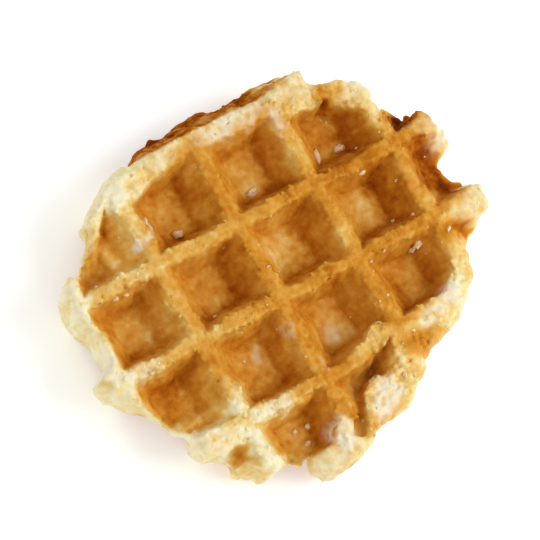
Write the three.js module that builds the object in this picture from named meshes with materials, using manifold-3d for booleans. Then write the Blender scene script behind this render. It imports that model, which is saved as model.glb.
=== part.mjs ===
// A Liege waffle: one thick slab of yeast dough with pearl sugar, pressed between two studded iron plates.
// The studs leave the same grid of wells in both faces. The dough stopped short of the plates' edges, so
// its rim is free: it bulges where it filled a channel between studs and is thin where it ended on a stud.
// Millimetres, +Z up. The waffle lies on its lower ridges, +X along its longest side, origin below its centre.

import * as THREE from "three";
import { mergeVertices } from "three/addons/utils/BufferGeometryUtils.js";
import Module from "manifold-3d";

const wasm = await Module();
wasm.setup();

// Driving dimensions of the slab.
const THICKNESS = 25;
const WELL_DEPTH = 10.4;
const BLOCK_HALF = { x: 63, y: 55 };

// The channels between studs, as the centre lines of the ridges that they leave.
const RIDGES_X = [-53.7, -30, -6.3, 17.4, 41.1];
const RIDGES_Y = [-27, -3.5, 18.3, 41.6];
const RIDGE_HALF = { x: 1.9, y: 2.2 };
const WALL_RUN = { x: 5.2, y: 2.8 };

// How much of a wall's run has passed, and how much of its fall, at each grid line that crosses it.
const WALL_STEPS = [
  { run: 0, fall: 0 },
  { run: 0.18, fall: 0.1 },
  { run: 1, fall: 1 },
];

// The widest gap between grid lines.
const WIDEST_GAP = 6;

// The lower ridge rises to the right, where the dough was folded before it was pressed.
const BENT_RIDGE = { y: -27, from: -4, to: 19, rise: 4, fade: 12 };

// Where dough swelled up and filled part of a well: centre, half-sizes, and the share of the well filled.
const SWELLS = [
  { x: -27, y: 41.5, halfX: 14, halfY: 5, fill: 0.9 },
  { x: -43, y: 34, halfX: 6, halfY: 5, fill: 0.5 },
  { x: 12, y: 45, halfX: 24, halfY: 2.5, fill: 0.3 },
  { x: 38.5, y: 37, halfX: 7, halfY: 7, fill: 0.8 },
  { x: 52, y: 17.5, halfX: 6, halfY: 6, fill: 0.75 },
  { x: 52, y: -5, halfX: 6, halfY: 5, fill: 0.7 },
  { x: 38, y: -21, halfX: 5, halfY: 6, fill: 0.6 },
  { x: 30, y: -27.5, halfX: 10, halfY: 6, fill: 0.95 },
  { x: 11, y: -36, halfX: 10, halfY: 8, fill: 0.95 },
  { x: -11, y: -45.5, halfX: 7, halfY: 5, fill: 0.85 },
  { x: -36, y: -37, halfX: 8, halfY: 6, fill: 0.75 },
  { x: -44, y: -27, halfX: 5, halfY: 4, fill: 0.6 },
  { x: -56, y: -4, halfX: 4, halfY: 5, fill: 0.6 },
];

// How far the upper ridges undulate below the plate's plane.
const UNDULATION = { depth: 0.5, waveX: 31, waveY: 24 };

// The free rim at half height, anticlockwise from the right-hand tip of the ridge at y = -3.5.
const RIM = [
  [56.9, -3.2], [53.4, 1.8], [49.8, 5.2], [50.8, 9.2], [56.3, 11], [57.1, 14], [55.4, 21.4], [51.2, 23.6],
  [47.3, 22.6], [46.5, 26], [43.8, 28], [43.3, 35.8], [41.3, 38.7], [31.3, 41.6], [28.5, 47], [22.6, 48.6],
  [10.3, 48.8], [5.2, 48], [-4, 49.9], [-13, 48.2], [-16.4, 49], [-23.6, 46.3], [-33.6, 42.9], [-40.2, 37.6],
  [-40.6, 33.4], [-46.4, 26.6], [-50, 26.2], [-54.2, 22.6], [-55.2, 15], [-53.6, 8.6], [-53.8, 3.4], [-57.4, -0.8],
  [-56.8, -4.4], [-52.2, -10], [-47.4, -16.4], [-43.2, -22], [-43.2, -27], [-39, -32.6], [-37, -37.4], [-31.6, -41],
  [-24.4, -39], [-17.2, -42.4], [-17.2, -46.4], [-14.6, -49.2], [-4, -46.3], [-0.6, -43.8], [8.8, -41.8],
  [14.4, -39.2], [20, -33.6], [33.8, -29.2], [39.6, -25.6], [43.8, -17], [46.2, -12.6], [54.6, -7.8],
];
const RIM_STEPS = 160;
const RIM_LEVELS = 8;
const RIM_INSET = 2.8;
const RIM_SQUARENESS = 2.5;

// On its -X side the rim leans: its foot is drawn in this far, and its shoulder stands out as far again.
const RIM_LEAN = { draw: 1.2, from: 0.55, full: 0.85 };

// The fold: a slit between the ridge at x = -6.3 and the lobe of dough laid over it.
const FOLD_PATH = [[13.5, -24.5], [7.5, -29], [2.5, -33], [-0.8, -36.6], [-3.4, -41], [-7, -46.5]];
const FOLD = { mouth: 3.4, depth: 9, steps: 14 };

// Lumps of pearl sugar: where each sits and its half-length, the largest first.
const SUGAR_LUMPS = [
  [33.7, -7.5, 2.4], [22, 24.5, 1.9], [28.3, 23.7, 1.7], [-46.3, 20.8, 1.6], [-21.8, 23.3, 1.5], [-33, -30.7, 1.5],
  [-26.5, 30, 1.4], [13.2, -36.7, 1.4], [1, 24, 1.3], [30.7, 15.3, 1.3], [20.2, -27, 1.3], [18.9, -16, 1.3],
  [-50, -2, 1.3], [24.3, -5.3, 1.2], [-24.5, -0.3, 1.2], [-5, 5, 1.2], [-23, -13.5, 1.2], [-17, -36, 1.2],
];
const HIDDEN_LUMPS = { count: 10, halfLength: 1.3, reachX: 44, reachY: 26 };
const SUGAR_SUNK = 0.4;
const SUGAR_SEED = 7;

// A repeatable draw from 0 to 1.
function drawsFrom(seed) {
  let state = seed;
  return () => {
    state = (state * 1664525 + 1013904223) % 4294967296;
    return state / 4294967296;
  };
}

const smoothStep = (share) => {
  const t = Math.min(Math.max(share, 0), 1);
  return t * t * (3 - 2 * t);
};

// The share of a well's depth reached at a distance from a ridge's centre line: 0 on the ridge, 1 on the floor.
function wallFall(distance, half, run) {
  const passed = (distance - half) / run;
  for (let i = 1; i < WALL_STEPS.length; i += 1) {
    const [before, after] = [WALL_STEPS[i - 1], WALL_STEPS[i]];
    if (passed <= after.run) {
      const share = Math.max((passed - before.run) / (after.run - before.run), 0);
      return before.fall + share * (after.fall - before.fall);
    }
  }
  return 1;
}

const nearest = (ridges, at) => Math.min(...ridges.map((ridge) => Math.abs(at - ridge)));

// The share of a whole well's depth at a place on the plates' grid.
function wellShare(x, y) {
  const alongX = wallFall(nearest(RIDGES_X, x), RIDGE_HALF.x, WALL_RUN.x);
  const alongY = wallFall(nearest(RIDGES_Y, y), RIDGE_HALF.y, WALL_RUN.y);
  return Math.min(alongX, alongY);
}

function swellShare(x, y) {
  let open = 1;
  for (const swell of SWELLS) {
    const away = ((x - swell.x) / swell.halfX) ** 2 + ((y - swell.y) / swell.halfY) ** 2;
    open *= 1 - swell.fill * smoothStep(1.5 - away);
  }
  return 1 - open;
}

function undulation(x, y) {
  const wave = Math.sin((x + 0.4 * y) / UNDULATION.waveX * Math.PI) * Math.cos(y / UNDULATION.waveY * Math.PI);
  return UNDULATION.depth * 0.5 * (1 + wave);
}

function topHeight(x, y) {
  return THICKNESS - undulation(x, y) - WELL_DEPTH * wellShare(x, y) * (1 - swellShare(x, y));
}

const bottomHeight = (x, y) => WELL_DEPTH * wellShare(x, y) * (1 - 0.5 * swellShare(x, y));

// How far the bent ridge, and the grid round it, stands off the plates' straight line.
function bend(x, y) {
  const rise = BENT_RIDGE.rise * smoothStep((x - BENT_RIDGE.from) / (BENT_RIDGE.to - BENT_RIDGE.from));
  return rise * smoothStep(1 - Math.abs(y - BENT_RIDGE.y) / BENT_RIDGE.fade);
}

// Grid lines along one axis: over each ridge and down its walls, with wider gaps then divided evenly.
function gridLines(ridges, half, run, reach) {
  const lines = [-reach, reach, ...ridges];
  for (const ridge of ridges) {
    for (const step of WALL_STEPS) {
      lines.push(ridge - half - run * step.run, ridge + half + run * step.run);
    }
  }
  const kept = lines.filter((line) => Math.abs(line) <= reach).sort((a, b) => a - b);
  return kept.flatMap((line, i) => {
    const gap = (kept[i + 1] ?? line) - line;
    const parts = Math.max(Math.ceil(gap / WIDEST_GAP), 1);
    return Array.from({ length: parts }, (_, part) => line + gap * part / parts);
  });
}

// A geometry as a solid, its faces joined at shared corners.
function solidOf(geometry) {
  geometry.deleteAttribute("normal");
  geometry.deleteAttribute("uv");
  const joined = mergeVertices(geometry, 1e-4);
  return new wasm.Manifold(
    new wasm.Mesh({
      numProp: 3,
      vertProperties: new Float32Array(joined.attributes.position.array),
      triVerts: new Uint32Array(joined.index.array),
    }),
  );
}

function geometryOf(solid) {
  const mesh = solid.getMesh();
  const geometry = new THREE.BufferGeometry();
  geometry.setAttribute("position", new THREE.BufferAttribute(new Float32Array(mesh.vertProperties), 3));
  geometry.setIndex(new THREE.BufferAttribute(new Uint32Array(mesh.triVerts), 1));
  return geometry;
}

// A box whose faces are moved onto the two pressed surfaces.
function pressedBlock() {
  const linesX = gridLines(RIDGES_X, RIDGE_HALF.x, WALL_RUN.x, BLOCK_HALF.x);
  const linesY = gridLines(RIDGES_Y, RIDGE_HALF.y, WALL_RUN.y, BLOCK_HALF.y);
  const [stepsX, stepsY] = [linesX.length - 1, linesY.length - 1];
  const block = new THREE.BoxGeometry(1, 1, 1, stepsX, stepsY, 1);
  const place = block.attributes.position;
  for (let i = 0; i < place.count; i += 1) {
    const x = linesX[Math.round((place.getX(i) + 0.5) * stepsX)];
    const y = linesY[Math.round((place.getY(i) + 0.5) * stepsY)];
    const z = place.getZ(i) > 0 ? topHeight(x, y) : bottomHeight(x, y);
    place.setXYZ(i, x, y + bend(x, y), z);
  }
  return solidOf(block);
}

// The rim's distance from the middle, for any bearing, read off a smooth curve through its points.
function rimReach() {
  const points = RIM.map(([x, y]) => new THREE.Vector3(x, y, 0));
  const curve = new THREE.CatmullRomCurve3(points, true, "catmullrom", 0.5);
  const spots = curve.getPoints(RIM.length * 8).slice(1);
  const polar = spots.map((p) => [Math.atan2(p.y, p.x), Math.hypot(p.x, p.y)]).sort((a, b) => a[0] - b[0]);
  return (bearing) => {
    const after = polar.findIndex(([angle]) => angle >= bearing);
    const [a, b] = after > 0 ? [polar[after - 1], polar[after]] : [polar.at(-1), polar[0]];
    const turn = (angle) => ((angle % (2 * Math.PI)) + 2 * Math.PI) % (2 * Math.PI);
    const share = turn(bearing - a[0]) / Math.max(turn(b[0] - a[0]), 1e-6);
    return a[1] + share * (b[1] - a[1]);
  };
}

// How far the rim draws in above and below half height.
function rimInset(z) {
  const share = Math.min(Math.abs(z / (THICKNESS / 2) - 1), 1);
  return RIM_INSET * (1 - (1 - share ** RIM_SQUARENESS) ** (1 / RIM_SQUARENESS));
}

function rimLean(bearing, z) {
  const share = smoothStep((-Math.cos(bearing) - RIM_LEAN.from) / (RIM_LEAN.full - RIM_LEAN.from));
  return RIM_LEAN.draw * share * (z / (THICKNESS / 2) - 1);
}

// The height of the rim's upper side at a distance in from its edge at half height.
function rimHeight(inward) {
  const share = Math.min(Math.max(inward / RIM_INSET, 0), 1);
  return THICKNESS / 2 * (1 + (1 - (1 - share) ** RIM_SQUARENESS) ** (1 / RIM_SQUARENESS));
}

// A turned disc, its edge then drawn out or in to the rim at each bearing.
function rimSolid() {
  const radius = 50;
  const profile = [new THREE.Vector2(0, 0)];
  for (let level = 0; level <= RIM_LEVELS; level += 1) {
    const z = THICKNESS / 2 * (1 - Math.cos(Math.PI * level / RIM_LEVELS));
    profile.push(new THREE.Vector2(radius - rimInset(z), z));
  }
  profile.push(new THREE.Vector2(0, THICKNESS));
  const disc = new THREE.LatheGeometry(profile, RIM_STEPS).rotateX(Math.PI / 2);
  const reach = rimReach();
  const place = disc.attributes.position;
  for (let i = 0; i < place.count; i += 1) {
    const [x, y] = [place.getX(i), place.getY(i)];
    const from = Math.hypot(x, y);
    if (from > 1) {
      const bearing = Math.atan2(y, x);
      const stretch = (from - radius + reach(bearing) + rimLean(bearing, place.getZ(i))) / from;
      place.setXY(i, x * stretch, y * stretch);
    }
  }
  return solidOf(disc);
}

// A wedge swept along the fold, wide at the top and closing at its depth.
function foldCut() {
  const points = FOLD_PATH.map(([x, y]) => new THREE.Vector3(x, y, THICKNESS - FOLD.depth));
  const path = new THREE.CatmullRomCurve3(points);
  const wedge = new THREE.Shape([
    new THREE.Vector2(0, 0),
    new THREE.Vector2(-FOLD.depth - 1, FOLD.mouth / 2),
    new THREE.Vector2(-FOLD.depth - 1, -FOLD.mouth / 2),
  ]);
  return solidOf(new THREE.ExtrudeGeometry(wedge, { steps: FOLD.steps, extrudePath: path }));
}

// One lump of pearl sugar: a rounded crystal, turned at random and set where its height says.
function sugarLump(x, y, z, halfLength, draw) {
  const lump = new THREE.IcosahedronGeometry(halfLength, 0);
  lump.scale(1, 0.75 + 0.2 * draw(), 0.7 + 0.2 * draw());
  lump.rotateZ(Math.PI * draw()).rotateX(0.6 * draw());
  lump.translate(x, y, z);
  return solidOf(lump);
}

function sugarLumps() {
  const draw = drawsFrom(SUGAR_SEED);
  const reach = rimReach();
  const above = SUGAR_LUMPS.map(([x, y, half]) => {
    const rim = rimHeight(reach(Math.atan2(y, x)) - Math.hypot(x, y));
    const surface = Math.min(topHeight(x, y - bend(x, y)), rim);
    return sugarLump(x, y, surface - half * SUGAR_SUNK, half, draw);
  });
  const below = Array.from({ length: HIDDEN_LUMPS.count }, () => {
    const x = HIDDEN_LUMPS.reachX * (2 * draw() - 1);
    const y = HIDDEN_LUMPS.reachY * (2 * draw() - 1);
    const z = Math.max(bottomHeight(x, y - bend(x, y)), 2 * HIDDEN_LUMPS.halfLength);
    return sugarLump(x, y, z, HIDDEN_LUMPS.halfLength, draw);
  });
  return [...above, ...below];
}

function waffle() {
  let solid = pressedBlock().intersect(rimSolid()).subtract(foldCut());
  for (const lump of sugarLumps()) {
    solid = solid.add(lump);
  }
  const geometry = geometryOf(solid);
  geometry.computeBoundingBox();
  const middle = geometry.boundingBox.getCenter(new THREE.Vector3());
  geometry.translate(-middle.x, -middle.y, -geometry.boundingBox.min.z);
  const crust = new THREE.MeshStandardMaterial({ color: 0xc98a35, roughness: 0.5, metalness: 0 });
  const mesh = new THREE.Mesh(geometry, crust);
  mesh.name = "waffle";
  return mesh;
}

const part = new THREE.Group();
part.add(waffle());

export default part;
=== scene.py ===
"""The looks of a Liege waffle: its crust as one fine mesh, its pearl sugar, the light and the camera.

Shapes are worked out in millimetres in the grid's own frame, where the ridges of the two studded plates
run along X and Y, and are put into the row's frame, in metres, when their meshes are made.
"""

import math

import bmesh
import bpy
import numpy as np
from mathutils import Matrix, Vector
from mathutils.bvhtree import BVHTree


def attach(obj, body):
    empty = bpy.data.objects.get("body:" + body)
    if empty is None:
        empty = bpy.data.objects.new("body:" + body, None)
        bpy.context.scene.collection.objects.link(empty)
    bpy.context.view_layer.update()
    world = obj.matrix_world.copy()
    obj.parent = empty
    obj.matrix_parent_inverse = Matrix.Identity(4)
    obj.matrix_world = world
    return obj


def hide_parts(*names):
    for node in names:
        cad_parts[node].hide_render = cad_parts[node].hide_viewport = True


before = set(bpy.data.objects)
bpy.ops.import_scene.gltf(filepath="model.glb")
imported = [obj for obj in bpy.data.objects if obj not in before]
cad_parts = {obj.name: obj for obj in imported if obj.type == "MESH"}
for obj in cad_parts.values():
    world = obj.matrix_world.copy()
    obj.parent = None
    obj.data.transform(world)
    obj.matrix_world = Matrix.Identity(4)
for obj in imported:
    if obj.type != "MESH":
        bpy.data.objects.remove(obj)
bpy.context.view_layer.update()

MM = 0.001
GRID_SHIFT = np.array([0.435, -0.381, 0.0])  # the grid's frame, seen from the row's

# The slab and the plates' grid.
THICKNESS = 25.0
HIGHEST = 25.9
WELL_DEPTH = 10.4
RIDGES_X = (-53.7, -30.0, -6.3, 17.4, 41.1)
RIDGES_Y = (-27.0, -3.5, 18.3, 41.6)
RIDGE_HALF = (1.65, 1.65)
WALL_RUN = (5.9, 3.2)
SHOULDER_ROUND = 0.16
FOOT_ROUND = 0.05
CORNER_ROUND = 0.1
SKIRT_FROM = 44.5
SKIRT_RUN = 4.8
BENT_RIDGE = {"y": -27.0, "from": -4.0, "to": 19.0, "rise": 4.0, "fade": 12.0}
SAG = 0.5

# Layers of noise, each with its height and the size of its waves.
WAVER = ((0.35, 13.0), (0.28, 4.4), (0.17, 1.9))
WANDER = ((0.8, 5.0), (0.35, 1.9))
SAG_UNEVEN = ((0.25, 17.0),)
RIM_UNEVEN = ((0.4, 9.0), (0.25, 4.0))
RIM_FINE = ((0.16, 1.8),)
PATCHY = ((0.05, 8.0), (0.05, 3.5), (0.03, 1.6))
# The height at which each thing reads the noise, so that no two of them look alike.
READ_AT = {"upper": 10.0, "lower": 90.0, "wander": 30.0, "sag": 80.0, "rim": 40.0, "creases": 60.0}
# How far apart in the noise the movements along X and along Y are read.
WAVER_APART = 57.0
WANDER_APART = 91.0
OVAL_EDGE = 1.2
FAR = 1e9

# Where dough swelled up: centre, half-sizes, turn in degrees, share of a well filled, softness, paleness.
SWELLS = (
    (-29, 41.2, 14.5, 5.6, 4, 0.95, 0.8, 1), (-42.3, 35.8, 8, 4.2, 42, 0.9, 0.8, 1),
    (-44, 30, 6.5, 3, 48, 0.35, 1, 0.25), (-35, 27, 6.5, 9, 0, 0.42, 1.2, 0.05),
    (-0.5, -34.5, 6.5, 5, 0, 0.36, 1, 0), (-3.6, -41.6, 2.6, 5, -30, 0.4, 1, 0),
    (25.6, 41.6, 8.6, 6, -6, 0.95, 0.5, 0.6), (9.6, -24.5, 6.5, 2.4, 20, 0.9, 0.5, 0.3),
    (38.4, 36.4, 10, 5.5, -42, 0.92, 0.6, 0.9), (55.6, 14, 4.2, 3.4, 0, 0.12, 0.5, 1),
    (52, 19.5, 4.5, 3.4, 0, 0.85, 0.6, 0.9), (52.4, -5, 8.6, 4.2, 0, 0.8, 0.8, 1),
    (38, -22, 7.5, 4, 42, 0.95, 0.5, 0.8), (26.5, -27.8, 12, 5.2, 12, 0.97, 0.5, 0.75),
    (4, -39, 7, 4.6, 30, 0.97, 0.5, 1), (9.6, -36.4, 4, 2.6, 30, 0.9, 0.6, 0.5),
    (-4.5, -46.6, 8, 2.6, 22, 0.9, 0.5, 1), (-14.5, -47.4, 12.5, 5.4, 16, 0.9, 0.6, 1),
    (-9, -42, 2.9, 5, -8, 0.9, 0.5, 1), (-43.2, -39, 10.5, 6.6, -35, 0.9, 0.6, 1),
    (-33, -42, 8, 4.6, 0, 0.9, 0.6, 1), (-42, -28.8, 10, 4.4, 0, 0.85, 0.7, 1),
    (-39, -22, 8, 3.4, 0, 0.3, 1.2, 0.1), (-37, -38.6, 5.4, 3.4, -8, 0.85, 0.6, 1),
    (-36.4, -36.4, 4, 2, 20, 0.35, 1.6, 0.4), (-57, -4, 6.5, 5.5, 0, 0.8, 0.8, 1),
    (-57, 12, 4, 16, 0, 0.9, 0.8, 1),
)
SWELL_WANDER = 0.7
SWELL_EDGE = 0.7
LOWER_SWELL = 0.5  # of a swell shows below

# The free rim.
RIM_INSET = 2.8
RIM_SQUARENESS = 2.5
RIM_LEAN = {"draw": 1.2, "from": 0.55, "full": 0.85}
RIM_ROUND = 2.0
RIM_BEARINGS = 720
# Where the rim reaches further out or less far than the solid's smooth one: place, width, by how much.
RIM_REACHES_ON = (
    (57.8, -0.6, 3.5, 2.6), (54.5, -9.6, 4, 2.6), (48.6, -13.6, 3, 1.2), (47, -16.2, 4.4, 2.6),
    (43, -23.2, 2.6, 1), (51, 6, 3.6, 4.6), (54, 11, 1.8, -1.6), (52.4, 24.8, 2.4, 2.8),
    (57.4, 13.4, 3, 2.5), (53.6, 3.7, 2, 1), (56, 2.4, 1.8, 1.6), (48.8, 25, 2, 5.4),
    (47.5, 28.5, 2.6, 2.2), (46, 33.6, 2.5, 1.4), (37, 41.5, 6, 0.9), (31.5, 47, 2.5, -3),
    (31.6, 43.6, 1.6, 1.2), (20, 49.4, 2.5, 1.1), (28, 48.5, 5, 2.1), (12, 49.6, 2.5, 1.2),
    (3.5, 50, 5, 2.4), (-5, 50.5, 4, 0.3), (-12.5, 50.3, 2, 1.6), (-22.5, 46.8, 2.5, -2),
    (-36.8, 41.2, 3, -0.8), (-46.4, 29.2, 2.5, 1.2), (-55, 10.5, 3, -1.9), (-53.8, 3.9, 2.2, -1.4),
    (-59.3, 0, 2.5, 1.1), (-50, -14, 3, -0.8), (-47, -21, 3, 1.2), (-43.6, -31, 3, 1.7),
    (-39, -36.4, 3.4, -4.2), (-34, -40.6, 3.2, -4.9), (-28, -42.5, 3.6, 2.6), (-23.6, -41, 2.2, 1.4),
    (-21, -43.6, 2.6, 2.6), (-12.5, -50, 3, 0.8), (-4, -48.8, 6, 2), (5, -44.8, 5, 0.9),
    (12, -42.6, 4.5, 2.2), (20.4, -37.2, 4, 2.3), (27, -32.6, 4.5, 1.2), (32, -30.5, 3, 0.8),
)

# The lobe that folded over beside the bent ridge: the line of its crest, and how wide its slope is there.
LOBE_CREST = (
    (16.4, -22, 1.6), (15.2, -25.4, 2), (14.4, -28.6, 5.2), (12.8, -31.4, 5.6), (10.4, -33.2, 4.2),
    (7.6, -33.8, 2.6), (3.8, -33.7, 1.2), (1.2, -35.3, 0.9), (-0.2, -37.2, 0.7), (-1.2, -39.2, 0.8),
    (-2.8, -42.4, 0.9), (-4.8, -45.6, 1.2), (-7, -54, 1.6),
)
LOBE_WANDER = 0.35
LOBE_FILL = 0.97
LOBE_PALENESS = 0.4
LOBE_BELOW_RIDGE = 0.5
LOBE_END_X = 34.0

# Folds and creases in the top: their points, each with the half-width there, their depth, and their lean
# along X and Y for each millimetre down.
CREASES = (
    (((-3, -39.6, 1.2), (-4.2, -41.4, 1.9), (-5.4, -43.4, 1.4)), 3.6, (0, 0)),
    (((18.4, -26, 0.2), (17, -29.6, 0.5), (15.2, -33.8, 0.2)), 1.6, (0, 0)),
    (((-19.6, 44.6, 0.2), (-20.6, 42.4, 0.5), (-19.2, 38.6, 0.3)), 1.9, (0, 0)),
    (((-37.5, 42, 0.2), (-31.5, 39.8, 0.6), (-26, 40.6, 0.2)), 1.4, (0, 0)),
    (((-41.5, 35.6, 0.2), (-37.5, 38.2, 0.5), (-34.5, 38.6, 0.2)), 1.2, (0, 0)),
    (((-34.8, 37.6, 0.3), (-36.2, 34.6, 0.9), (-37.6, 31.2, 0.5)), 5, (0, 0)),
    (((-12.4, 34.4, 0.3), (-12.6, 31.6, 0.5)), 7.5, (0, 0)),
    (((4.4, 42.6, 0.5), (5.4, 42.8, 0.6)), 1.8, (0, 0)),
    (((47.6, 22.9, 0.6), (47.9, 26, 1.2), (48.8, 29, 1.8)), 30, (0.29, 0.1)),
    (((29.4, 41, 0.8), (31.2, 38.6, 1.4), (33.4, 37.4, 0.8)), 1.5, (0, 0)),
)
CREASE_UNEVEN = ((0.2, 3.0),)
CREASE_NARROWING = 0.6
CREASE_ROUND = 0.6

# How brown the crust is, from 0, raw cream, to 1, dark brown.
PRESSED_BAKE = 0.52
CREAM_BAKE = 0.11
SKIRT_BAKE = 0.73
# How much darker the feet of the walls are: painted contact shadow, partly also browner crust.
FOOT_SHADE_AND_BROWNING_AMOUNT = 0.13
# Painted contact shadow along the feet of the walls, partly also browner crust: axis, way to the ridge,
# fades over floor and up wall, share.
FOOT_SHADE_AND_BROWN_LINES = ((1, -1, 1.25, 2.2, 1.0), (0, 1, 0.6, 3.0, 0.6), (1, 1, 0.6, 0.6, 0.4))
# The brown wall below the torn side: its two ends along X, and its foot.
SKIRT_X = (-26.6, 27.0)
SKIRT_FOOT = 0.5

# Where the crust is darker or paler, mostly where it baked darker or stayed paler; some paint shade, such
# as the shadow on the rim's side, and some paint light that lifts deep shade: centre, half-sizes, turn in
# degrees, by how much.
TONES = (
    (-30, 33, 3, 8, 0, -0.2), (-30, -12, 2.6, 6, 0, 0.14), (-29, -28, 4.5, 12, 0, -0.36),
    # (48, 1.2) is painted light, paler to lift the deep shade in the pocket's bottom.
    (48, 1.2, 6, 2.2, 0, -0.3), (-20, -27.8, 9, 2.6, 0, -0.2), (-6.3, 30, 2.6, 10, 0, 0.1),
    (-6.3, 0, 2.6, 20, 0, 0.06), (-33, 18.4, 22, 2.6, 0, -0.17), (-47, -3.5, 7, 2.8, 0, -0.2),
    (-26, -3.5, 22, 2.4, 0, -0.1), (17.4, 32, 2.6, 10, 0, -0.1), (17.4, 2, 2.6, 6, 0, -0.12),
    (17.4, -12, 2.6, 6, 0, 0.08), (17.4, 12, 2.6, 4, 0, 0.08), (41.2, 26, 2.6, 5, 0, -0.1),
    (41.2, 5.6, 2.2, 5, 0, -0.08), (28, 18.4, 12, 2.6, 0, 0.13), (14, -3.5, 16, 2.6, 0, 0.09),
    (8.4, -24, 7, 2.8, 20, -0.14), (2, -27, 6, 2.4, 10, 0.1), (5, 43, 11, 3.4, 0, -0.14),
    (21, 43, 8, 4, 0, 0.06), (-22.5, 39.4, 5.5, 2.5, 10, 0.1), (32, 38.6, 3.4, 2.6, 0, 0.26),
    (-12, 43.6, 3.4, 2.4, 0, -0.12), (39, 33, 3, 5, 30, 0.06), (46, 17.8, 3.4, 3, 0, 0.12),
    (50.5, 18.4, 3.8, 3.2, 0, 0.12), (50.6, 23.2, 5.2, 2.4, -12, 0.6), (44.6, 24.4, 2.6, 4, 0, 0.36),
    (51, -5, 4.5, 3, 0, -0.08), (49, 5.4, 5.5, 9.4, 0, 0.36), (56.6, 13.8, 4.4, 3.6, 0, -0.14),
    (46.4, -9.2, 6.5, 2.6, -8, 0.18), (-43, -13.6, 4.5, 4.5, 0, 0.15), (-38, -8.6, 7, 2, 0, 0.14),
    (-39, -15, 2.2, 5, 0, -0.08), (-38, -22.4, 9, 3, 0, -0.14), (-35, 4, 5, 9, 0, -0.18),
    (-45, 23.2, 8, 2.8, 0, -0.18), (-36, -15, 3, 4, 0, -0.08), (-38, -3.6, 5, 2, 0, 0.05),
    (-15, -3.6, 5, 2, 0, 0.05), (-41, 32.6, 3.6, 2.4, 45, 0.2), (-13, 26, 2.5, 5, 0, -0.08),
    (-15.6, 33.5, 2.8, 4, 0, 0.04), (-20, 23.6, 6, 1.6, 0, 0.08), (3, 23.8, 6, 1.6, 0, 0.08),
    (-43, 26.4, 6, 2.4, 0, 0.08), (-38, 31, 1.6, 2.4, -30, 0.1), (-36, 27, 5, 7, 0, -0.18),
    (-20, 18.3, 4, 1.8, 0, 0.1), (-40, 18.3, 4, 2, 0, -0.06), (5, 18.3, 6, 2, 0, 0.04),
    (28, 7.2, 3.4, 4.4, 0, -0.18), (5, -17, 3.4, 3.4, 0, -0.16), (35, 8, 4.5, 9, 0, 0.15),
    (34, 28, 5, 8, 0, 0.1), (12, 8, 4, 9, 0, 0.05), (-12, 8, 4, 9, 0, 0.07), (1.5, 9, 5, 5, 0, -0.24),
    (3.5, 27.5, 4, 4.5, 0, -0.06), (23.6, -14, 4, 4.5, 0, 0.12), (25, 30, 4.5, 5, 0, 0.06),
    (21.5, -31, 5.5, 3.2, 10, 0.34), (13.6, -37.2, 4, 2.6, 40, 0.12), (1.6, -29.6, 4, 1.8, 20, -0.13),
    (5, -31, 4, 2, 20, -0.06), (-5.2, -43, 2.2, 2, 0, 0.12), (-2.4, -36, 1.8, 3.6, 0, -0.08),
    (-4, -41, 3.8, 2.1, 58, 0.12), (-33, -39, 5, 3, 0, 0.18), (-40, -28, 5, 2.6, 0, 0.06),
    (-13, -24, 4, 2, 0, -0.05), (3, -42.5, 6, 2.4, 16, 0.06), (18.4, -24, 3, 4, 0, 0.08),
    (19.4, -30.4, 3, 5, -10, 0.06), (-11.5, -36, 4, 5, 0, 0.12), (34, -14, 4.5, 7, -20, 0.04),
    (36.5, -20.4, 3.4, 2.6, 45, -0.16), (12.4, -30, 1.8, 3, -30, -0.1), (3, -43.4, 6, 2.2, 16, 0.18),
    (-54.5, 3.4, 3.6, 4.4, 0, -0.16), (-38, -23.6, 8, 1.5, 0, -0.14), (-30, -35, 3, 4, 0, -0.1),
    # (34.6, -22.8) is paler for a painted highlight, and (-48.6, -19) paints the shadow on the side of the
    # rim.
    (34.6, -22.8, 2.8, 2, 40, -0.1), (-48.6, -19, 1.6, 3.4, 25, 0.24), (34, 37.6, 4, 3, -30, 0.1),
)

# Whitish crumb, flour and melted sugar, and one painted highlight, the glint on a glossy patch at (34.6,
# -22.4): centre, half-sizes, turn in degrees, how much.
WHITES = (
    (5.5, 42.6, 9.5, 2.8, 0, 1), (21, 43.6, 6.5, 2.8, 0, 0.4), (39.6, 35, 4, 3, -45, 0.4),
    (27, 42.4, 1.8, 3.4, 0, 0.5), (17, 37.2, 1.8, 3.6, 0, 0.7), (-15, 43, 4, 2.2, 20, 0.6),
    (-22.5, -27.6, 5.6, 1.9, 0, 0.9), (-29.4, -21, 1.3, 4.6, 0, 0.5), (-47.5, -3.4, 4.4, 1.7, 0, 0.6),
    (-16.8, -13, 1.5, 2.8, -35, 0.6), (-8.6, -11.6, 1, 2.2, 20, 0.4), (4.6, -16.8, 2.2, 1.6, -35, 0.4),
    # (34.6, -22.4) is a painted highlight, the glint on a glossy patch.
    (34.6, -22.4, 2.8, 2, 40, 1.5), (27.5, -25.6, 4.4, 2.4, 10, 0.9), (6.5, -37.8, 4.2, 3.2, 40, 1.6),
    (3.2, -40.8, 3.4, 1.8, 20, 0.9), (-40, -28, 5, 2.6, 0, 0.5), (-53.4, -4, 4, 3, 0, 0.4),
    (-9.4, -40.6, 2.6, 4, 0, 1.4), (-54.8, 3.2, 2.8, 3.8, 0, 1.3), (-31.4, 25.2, 1.6, 1.5, 0, 1.1),
    (-28.8, 25.4, 0.9, 0.8, 0, 0.7), (51.5, -5, 5, 2.8, 0, 0.5), (52, 18.6, 3, 1.8, 0, 0.3),
    (56.6, 13.8, 4, 3, 0, 0.9), (-30, -34, 2.4, 4, 0, 0.4), (-26.6, 28.6, 0.9, 3, -12, 0.7),
    (-4.6, -23.6, 0.8, 1.6, 0, 0.5), (-13, -46.4, 6, 3, 20, 0.7),
)

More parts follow.
